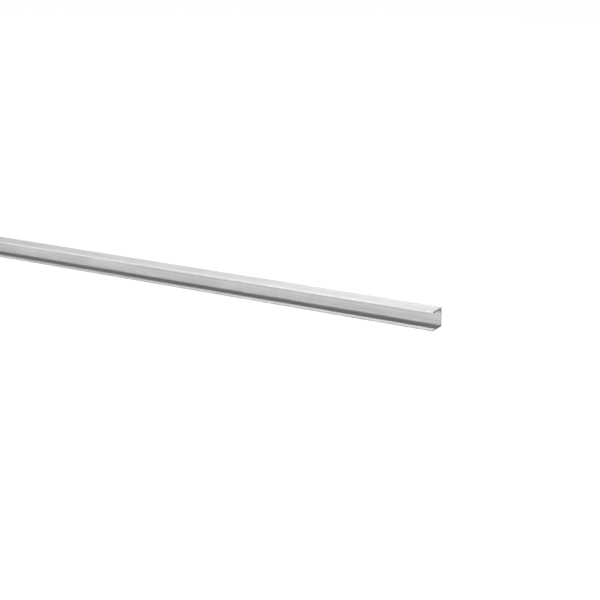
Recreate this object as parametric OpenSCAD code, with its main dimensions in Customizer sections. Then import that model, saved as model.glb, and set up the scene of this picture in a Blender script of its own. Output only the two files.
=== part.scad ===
// Equal-leg aluminium U channel, sold as a straight bar with sawn ends.
// X runs along the bar, Y from the open front to the web at the back, Z up.
// The bar lies on one flange, with the middle of its underside at the origin.

/* [Bar] */
// Length from sawn end to sawn end
bar_length = 1000; // [100:10:6000]

/* [Section] */
// Height over the outer faces of the two flanges
section_height = 20; // [10:0.5:60]
// Depth from the flange tips to the back of the web
section_depth = 20; // [10:0.5:60]
// Thickness of the web
web_thickness = 1.5; // [1:0.1:4]
// Thickness of each flange
flange_thickness = 1.5; // [1:0.1:4]

/* [Edges] */
// Radius of the two outside corners, where the web turns into a flange
outside_corner_radius = 0.4; // [0.1:0.05:1]
// Radius of the fillets in the two inside corners
inside_fillet_radius = 0.5; // [0.1:0.05:2]
// Radius of the two edges of each flange tip
tip_edge_radius = 0.25; // [0.1:0.05:0.45]

/* [Hidden] */
$fn = 48;
// How far a cut reaches past the face that it opens
overrun = 1;
// Where the faces of the section lie across the bar
front_y = -section_depth / 2;
back_y = section_depth / 2;
web_face_y = back_y - web_thickness;
// What one flange needs: the height of its outer face, and the way from there to its inner face
FLANGES = [[0, 1], [section_height, -1]];

// The waste outside a round of the given radius in a square corner.
// Inward holds the signs of the way from the corner into what is rounded.
module corner_waste(corner, inward, radius) {
    difference() {
        translate(corner + inward * (radius - overrun) / 2)
            square(radius + overrun, center = true);
        translate(corner + inward * radius)
            circle(radius);
    }
}

// The space between the flanges, open at the front and filleted along the web.
module channel_space() {
    difference() {
        translate([front_y - overrun, flange_thickness])
            square([web_face_y - front_y + overrun, section_height - 2 * flange_thickness]);
        for (flange = FLANGES)
            corner_waste([web_face_y, flange[0] + flange[1] * flange_thickness],
                         [-1, flange[1]], inside_fillet_radius);
    }
}

// The die's outline, seen along the bar: Y to the right and Z up.
module section() {
    difference() {
        translate([front_y, 0])
            square([section_depth, section_height]);
        channel_space();
        for (flange = FLANGES) {
            corner_waste([back_y, flange[0]], [-1, flange[1]], outside_corner_radius);
            corner_waste([front_y, flange[0]], [1, flange[1]], tip_edge_radius);
            corner_waste([front_y, flange[0] + flange[1] * flange_thickness],
                         [1, -flange[1]], tip_edge_radius);
        }
    }
}

// The bar: the section pushed through the die and sawn square at both ends.
module u_channel() {
    color("gainsboro")
        rotate([90, 0, 90])
            linear_extrude(height = bar_length, center = true)
                section();
}

u_channel();
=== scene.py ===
"""Aluminium U-channel bar on a white studio floor, seen from its near sawn end."""
import math

import bpy
from mathutils import Matrix, Vector


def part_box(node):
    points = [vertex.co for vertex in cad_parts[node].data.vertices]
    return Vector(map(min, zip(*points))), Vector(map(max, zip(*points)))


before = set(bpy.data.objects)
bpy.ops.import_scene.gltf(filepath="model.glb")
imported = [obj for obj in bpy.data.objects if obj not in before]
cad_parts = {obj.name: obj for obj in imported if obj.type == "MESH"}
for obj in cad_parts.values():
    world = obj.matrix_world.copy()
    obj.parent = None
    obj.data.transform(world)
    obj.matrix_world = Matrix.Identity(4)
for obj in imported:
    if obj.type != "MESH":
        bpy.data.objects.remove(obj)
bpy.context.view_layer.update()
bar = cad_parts["u_channel"]
bar_low, bar_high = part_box("u_channel")

# Camera: the photo's angle, set by where the near end's lower front corner appears
IMAGE_PIXELS = 600
SENSOR_WIDTH_MM = 36.0
FOCAL_PIXELS = 1103.9
AZIMUTH = math.radians(31.70)
ELEVATION = math.radians(16.91)
ROLL = math.radians(-0.66)
CORNER_PIXEL = (432.70, 331.58)
CORNER_DEPTH = 1.085
CLIP_START, CLIP_END = 0.01, 100

# Floor, in metres: its glow grows with the distance from the bar's middle
FLOOR_SIZE = 12.0
FLOOR_COLOUR = (0.25, 0.25, 0.25, 1)
GLOW_LEVELS = (0.84, 1.0)
GLOW_RADII = (0.35, 1.0)
# How far from the bar the glow starts to show in reflections, and where it shows in full; nearer the bar,
# reflections see a painted shadow
UNSEEN_IN_FRONT = (0.015, 0.16)
UNSEEN_BEHIND = (0.0, 0.02)

# World: the light from each side, and the directions between which it changes
WHITE = (1, 1, 1, 1)
FRONT_LEVEL, BACK_LEVEL, END_LEVEL = 0.08, 1.0, 0.8
BACK_DIRECTION_Y = (0.42, 0.72)
END_DIRECTION_X = (0.75, 0.92)

# Lamps, in metres and watts: soft boxes in a row overhead, and a low one behind the camera
LAMPS = {
    "top_box": {"centre": (0.7, -0.30, 1.2), "size": (2.6, 0.10), "aim": (0.7, -0.30, 0), "watts": 16.8},
    "far_box": {"centre": (-1.3, -0.22, 1.2), "size": (1.4, 0.10), "aim": (-1.3, -0.22, 0), "watts": 5.0},
    "low_box": {"centre": (0, -1.6, 0.275), "size": (5.2, 0.10), "aim": (0, 0, 0.01), "watts": 31.8},
}

# Section of the channel, in metres: where the faces lie that get painted shade, painted light or more
# roughness
WALL = 0.0015
WEB_FACE_Y = bar_high.y - WALL
MIDDLE_Z = (bar_low.z + bar_high.z) / 2
OUTER_RISE = bar_high.z - MIDDLE_Z
FLANGE_FACE_RISE = OUTER_RISE - WALL
FACE_SLACK = 0.0002

# Zones of the skin, in metres: how far above a flange's face they fade, and their depths,
# which are measured forward from the web's face, or for the tips back from the bar's front
FADE_RISE = 0.0004
# Painted shade inside both flanges: a smaller share right in the corner, full a little way out, gone
# before the mouth
SHADE_START_DEPTH, SHADE_END_DEPTH = (0.0, 0.006), (0.0105, 0.0145)
SHADE_SHARE_IN_CORNER = 0.35
RAGGEDNESS = 0.003
# The flanges' mouth, which gets painted light
MOUTH_DEPTH = (0.0125, 0.0150)
TIP_DEPTH = (0.0001, 0.0004)

# Aluminium: its colours, and the painted shade and painted light laid over the alloy in each zone, by how
# much
ALLOY_COLOUR = (0.84, 0.84, 0.846, 1)
ALLOY_DULL = (0.71, 0.71, 0.717, 1)
PAINTED_SHADE_COLOUR = (0.36, 0.36, 0.366, 1)
PAINTED_LIGHT_COLOUR = (0.94, 0.94, 0.944, 1)
# Painted shade inside the flanges and on the resting tip's front face; painted light on the flanges'
# mouth and a painted highlight on the raised tip's front face
ZONE_COLOURS = (("painted_shade", 0.9, PAINTED_SHADE_COLOUR), ("mouth", 0.2, PAINTED_LIGHT_COLOUR),
                ("raised_tip", 0.9, PAINTED_LIGHT_COLOUR), ("resting_tip", 0.25, PAINTED_SHADE_COLOUR))
SATIN_ROUGHNESS = (0.43, 0.51)
PAINTED_SHADE_ROUGHER = 0.36
SCUFFED_ROUGHER = 0.12
ANISOTROPY = 0.9

# Streaks drawn along the bar, in millimetres, and the share of one kind where two are blended
MM_PER_METRE = 1000
FINE_LINES = {"across_mm": 0.25, "along_mm": 400, "detail": 2.0}
BANDS = {"across_mm": 1.6, "along_mm": 700, "detail": 1.0}
CLOUDS = {"across_mm": 14.0, "along_mm": 60, "detail": 3.0}
STREAK_ROUGHNESS = 0.55
NOISE_MIDDLE = 0.5
BAND_SHARE_OF_TONE = 0.6
TONE_LEVELS = (0.35, 0.65)
LINE_SHARE_OF_SATIN = 0.5
SATIN_LEVELS = (0.3, 0.7)
LINE_SHARE_OF_RELIEF = 0.6
RELIEF_STRENGTH = 0.12
RELIEF_DEPTH_MM = 0.03

# Sawn ends: arcs about the hub of a large blade, the hub in metres, on dark colours that paint the ends'
# shade
SAW_HUB = (0, -0.05, -0.15)
SAW_PITCH_MM = 0.3
SAW_DETAIL = 2.0
SAW_LEVELS = (0.3, 0.7)
SAWN_PAINTED_SHADE = (0.31, 0.31, 0.315, 1)
SAWN_PAINTED_SHADE_ARCS = (0.46, 0.46, 0.465, 1)
SAWN_ROUGHNESS = 0.62
END_FACING = (0.8, 0.95)


class Nodes:
    """A node tree that adds nodes with their inputs wired or set in one call."""

    def __init__(self, tree):
        self.tree = tree
        tree.nodes.clear()

    def add(self, kind, inputs=None, **settings):
        """A node of this kind, with its settings made before its inputs."""
        made = self.tree.nodes.new("ShaderNode" + kind)
        for name, value in settings.items():
            setattr(made, name, value)
        for name, value in (inputs or {}).items():
            if isinstance(value, bpy.types.NodeSocket):
                self.tree.links.new(value, made.inputs[name])
            else:
                made.inputs[name].default_value = value
        return made

    def math(self, operation, first, second=0.0):
        return self.add("Math", {0: first, 1: second}, operation=operation).outputs[0]

    def product(self, first, *others):
        for other in others:
            first = self.math("MULTIPLY", first, other)
        return first

    def ramp(self, value, levels, low=0.0, high=1.0):
        """A smooth change from low to high while the value goes through the two levels."""
        start, end = levels
        return self.add("MapRange", {"Value": value, "From Min": start, "From Max": end,
                                     "To Min": low, "To Max": high},
                        interpolation_type="SMOOTHSTEP").outputs["Result"]

    def blend(self, first, second, first_share):
        """A fixed share of the first value, and the second for the rest."""
        return self.math("ADD", self.product(first, first_share), self.product(second, 1 - first_share))

    def toward(self, value, target, share):
        """The value, moved toward the target by a share that varies over the surface."""
        return self.math("ADD", value, self.product(share, self.math("SUBTRACT", target, value)))

    def cover(self, under, over, share):
        """One colour with a share of another over it."""
        return self.add("MixRGB", {"Fac": share, "Color1": under, "Color2": over}).outputs[0]


def make_camera():
    """A camera at the photo's angle, so placed that the near corner falls on its pixel."""
    right = Vector((math.cos(AZIMUTH), math.sin(AZIMUTH), 0))
    ahead = Vector((-math.sin(AZIMUTH) * math.cos(ELEVATION),
                    math.cos(AZIMUTH) * math.cos(ELEVATION),
                    -math.sin(ELEVATION)))
    down = ahead.cross(right)
    rolled_right = right * math.cos(ROLL) - down * math.sin(ROLL)
    rolled_down = right * math.sin(ROLL) + down * math.cos(ROLL)
    corner = Vector((bar_high.x, bar_low.y, bar_low.z))
    across, below = ((pixel - IMAGE_PIXELS / 2) * CORNER_DEPTH / FOCAL_PIXELS
                     for pixel in CORNER_PIXEL)
    place = corner - rolled_right * across - rolled_down * below - ahead * CORNER_DEPTH
    data = bpy.data.cameras.new("camera")
    data.sensor_width = SENSOR_WIDTH_MM
    data.lens = FOCAL_PIXELS / IMAGE_PIXELS * SENSOR_WIDTH_MM
    data.clip_start = CLIP_START
    data.clip_end = CLIP_END
    camera = bpy.data.objects.new("camera", data)
    bpy.context.scene.collection.objects.link(camera)
    turn = Matrix((rolled_right, -rolled_down, -ahead)).transposed().to_4x4()
    camera.matrix_world = Matrix.Translation(place) @ turn
    bpy.context.scene.camera = camera


def floor_white():
    """White to the camera, with a soft shadow, and to reflections except close to the bar, where they see
    a painted shadow.
    """
    material = bpy.data.materials.new("floor_white")
    material.use_nodes = True
    nodes = Nodes(material.node_tree)
    path = nodes.add("LightPath").outputs
    place = nodes.add("TexCoord").outputs["Object"]
    away = nodes.add("VectorMath", {0: place}, operation="LENGTH").outputs["Value"]
    level = nodes.ramp(away, GLOW_RADII, *GLOW_LEVELS)
    across = nodes.add("SeparateXYZ", {0: place}).outputs["Y"]
    # Close to the bar, reflections see no glow: a painted shadow
    in_front = nodes.ramp(across, [bar_low.y - gap for gap in UNSEEN_IN_FRONT])
    behind = nodes.ramp(across, [bar_high.y + gap for gap in UNSEEN_BEHIND])
    bounced = nodes.math("MAXIMUM", path["Is Glossy Ray"], path["Is Transmission Ray"])
    bounced = nodes.product(bounced, nodes.math("MAXIMUM", in_front, behind))
    seen = nodes.math("MAXIMUM", path["Is Camera Ray"], bounced)
    glow = nodes.add("Emission", {"Strength": nodes.product(seen, level)})
    lit = nodes.add("BsdfDiffuse", {"Color": FLOOR_COLOUR})
    both = nodes.add("AddShader", {0: glow.outputs[0], 1: lit.outputs[0]})
    nodes.add("OutputMaterial", {"Surface": both.outputs[0]})
    return material


def make_floor():
    """A plane under the bar."""
    bpy.ops.mesh.primitive_plane_add(size=FLOOR_SIZE)
    floor = bpy.context.object
    floor.name = "floor"
    floor.data.materials.append(floor_white())


def make_world():
    """White for the camera, behind the bar and past its ends, dim on the camera's side."""
    world = bpy.data.worlds.new("studio")
    bpy.context.scene.world = world
    world.use_nodes = True
    nodes = Nodes(world.node_tree)
    place = nodes.add("TexCoord").outputs["Generated"]
    toward = nodes.add("SeparateXYZ", {0: place}).outputs
    behind = nodes.ramp(toward["Y"], BACK_DIRECTION_Y, FRONT_LEVEL, BACK_LEVEL)
    endways = nodes.math("ABSOLUTE", toward["X"])
    beside = nodes.ramp(endways, END_DIRECTION_X, FRONT_LEVEL, END_LEVEL)
    level = nodes.math("MAXIMUM", behind, beside)
    camera_ray = nodes.add("LightPath").outputs["Is Camera Ray"]
    back = nodes.add("Background", {"Color": WHITE,
                                    "Strength": nodes.math("MAXIMUM", level, camera_ray)})
    nodes.add("OutputWorld", {"Surface": back.outputs[0]})


def make_lamp(name, centre, size, aim, watts):
    """A soft box that faces the point it is aimed at."""
    data = bpy.data.lights.new(name, "AREA")
    data.shape = "RECTANGLE"
    data.size, data.size_y = size
    data.energy = watts
    lamp = bpy.data.objects.new(name, data)
    lamp.location = centre
    lamp.rotation_euler = (Vector(aim) - Vector(centre)).to_track_quat("-Z", "Y").to_euler()
    lamp.visible_camera = False
    bpy.context.scene.collection.objects.link(lamp)


def streaks(nodes, place, across_mm, along_mm, detail):
    """Noise drawn out along the bar."""
    scale = (MM_PER_METRE / along_mm, MM_PER_METRE / across_mm, MM_PER_METRE / across_mm)
    stretched = nodes.add("VectorMath", {0: place, 1: scale}, operation="MULTIPLY").outputs["Vector"]
    return nodes.add("TexNoise", {"Vector": stretched, "Scale": 1.0, "Detail": detail,
                                  "Roughness": STREAK_ROUGHNESS}).outputs["Fac"]


def saw_marks(nodes, place):
    """Arcs that the blade leaves across the ends."""
    from_hub = nodes.add("VectorMath", {0: place, 1: SAW_HUB}, operation="DISTANCE").outputs["Value"]
    teeth = nodes.product(from_hub, MM_PER_METRE / SAW_PITCH_MM)
    return nodes.add("TexNoise", {"W": teeth, "Scale": 1.0, "Detail": SAW_DETAIL},
                     noise_dimensions="1D").outputs["Fac"]


def painted_light_and_wear_zones(nodes, place, clouds):
    """Masks of the painted shade inside the flanges, the painted light at their mouth, the outer faces
    and the two tips.
    """
    where = nodes.add("SeparateXYZ", {0: place}).outputs
    depth = nodes.math("SUBTRACT", WEB_FACE_Y, where["Y"])
    from_middle = nodes.math("ABSOLUTE", nodes.math("SUBTRACT", where["Z"], MIDDLE_Z))
    rise = nodes.math("SUBTRACT", FLANGE_FACE_RISE, from_middle)
    on_flange = nodes.product(nodes.math("GREATER_THAN", depth, -FACE_SLACK),
                              nodes.math("GREATER_THAN", rise, -FACE_SLACK),
                              nodes.ramp(rise, (0, FADE_RISE), 1, 0))
    ragged = nodes.product(nodes.math("SUBTRACT", clouds, NOISE_MIDDLE), RAGGEDNESS)
    ragged_depth = nodes.math("ADD", depth, ragged)
    painted_shade = nodes.product(on_flange, nodes.ramp(ragged_depth, SHADE_START_DEPTH, SHADE_SHARE_IN_CORNER, 1),
                          nodes.ramp(ragged_depth, SHADE_END_DEPTH, 1, 0))
    mouth = nodes.product(on_flange, nodes.ramp(ragged_depth, MOUTH_DEPTH))
    outer = nodes.math("MAXIMUM", nodes.math("GREATER_THAN", from_middle, OUTER_RISE - FACE_SLACK),
                       nodes.math("GREATER_THAN", where["Y"], bar_high.y - FACE_SLACK))
    # The tips' front faces: painted shade on the resting tip, a painted highlight on the raised tip
    tip = nodes.ramp(where["Y"], [bar_low.y + gap for gap in TIP_DEPTH], 1, 0)
    raised = nodes.math("GREATER_THAN", where["Z"], MIDDLE_Z)
    resting = nodes.math("SUBTRACT", 1, raised)
    return {"painted_shade": painted_shade, "mouth": mouth, "outer": outer,
            "raised_tip": nodes.product(tip, raised), "resting_tip": nodes.product(tip, resting)}


def skin_colour(nodes, bands, clouds, zones):
    """Alloy with dull bands and clouds, and the painted shade and painted light in each zone."""
    dull = nodes.ramp(nodes.blend(bands, clouds, BAND_SHARE_OF_TONE), TONE_LEVELS)
    colour = nodes.cover(ALLOY_COLOUR, ALLOY_DULL, dull)
    for zone, share, painted_tone in ZONE_COLOURS:
        colour = nodes.cover(colour, painted_tone, nodes.product(zones[zone], share))
    return colour


def skin_roughness(nodes, fine, clouds, zones):
    """Satin metal, matte where shade is painted inside the flanges and a little rougher where it is
    scuffed.
    """
    streaked = nodes.blend(fine, clouds, LINE_SHARE_OF_SATIN)
    satin = nodes.ramp(streaked, SATIN_LEVELS, *SATIN_ROUGHNESS)
    satin = nodes.math("ADD", satin, nodes.product(zones["painted_shade"], PAINTED_SHADE_ROUGHER))
    scuffed = nodes.math("MAXIMUM", zones["outer"], zones["mouth"])
    return nodes.math("ADD", satin, nodes.product(scuffed, SCUFFED_ROUGHER))


def aluminium():
    """Mill-finish aluminium drawn along the bar, with painted shade on the sawn ends and inside the
    flanges, and painted light at the mouth and raised tip.
    """
    material = bpy.data.materials.new("mill_aluminium")
    material.use_nodes = True
    nodes = Nodes(material.node_tree)
    coords = nodes.add("TexCoord").outputs
    place = coords["Object"]
    facing = nodes.add("SeparateXYZ", {0: coords["Normal"]}).outputs
    sawn = nodes.ramp(nodes.math("ABSOLUTE", facing["X"]), END_FACING)

    fine, bands, clouds = (streaks(nodes, place, **kind) for kind in (FINE_LINES, BANDS, CLOUDS))
    marks = saw_marks(nodes, place)
    zones = painted_light_and_wear_zones(nodes, place, clouds)

    # The sawn ends: the blade's arcs on colours darkened as painted shade
    cut = nodes.cover(SAWN_PAINTED_SHADE, SAWN_PAINTED_SHADE_ARCS, nodes.ramp(marks, SAW_LEVELS))
    colour = nodes.cover(skin_colour(nodes, bands, clouds, zones), cut, sawn)
    roughness = nodes.toward(skin_roughness(nodes, fine, clouds, zones), SAWN_ROUGHNESS, sawn)
    relief = nodes.toward(nodes.blend(fine, bands, LINE_SHARE_OF_RELIEF), marks, sawn)
    bump = nodes.add("Bump", {"Height": relief, "Strength": RELIEF_STRENGTH,
                              "Distance": RELIEF_DEPTH_MM / MM_PER_METRE})
    tangent = nodes.add("Tangent", direction_type="RADIAL", axis="X")
    shader = nodes.add("BsdfPrincipled", {"Base Color": colour, "Metallic": 1.0, "Roughness": roughness,
                                          "Anisotropic": ANISOTROPY, "Normal": bump.outputs["Normal"],
                                          "Tangent": tangent.outputs[0]})
    nodes.add("OutputMaterial", {"Surface": shader.outputs[0]})
    return material


make_camera()
make_floor()
make_world()
for lamp_name, lamp_values in LAMPS.items():
    make_lamp(lamp_name, **lamp_values)
bar.data.materials.clear()
bar.data.materials.append(aluminium())
bpy.context.scene.view_settings.view_transform = "Standard"
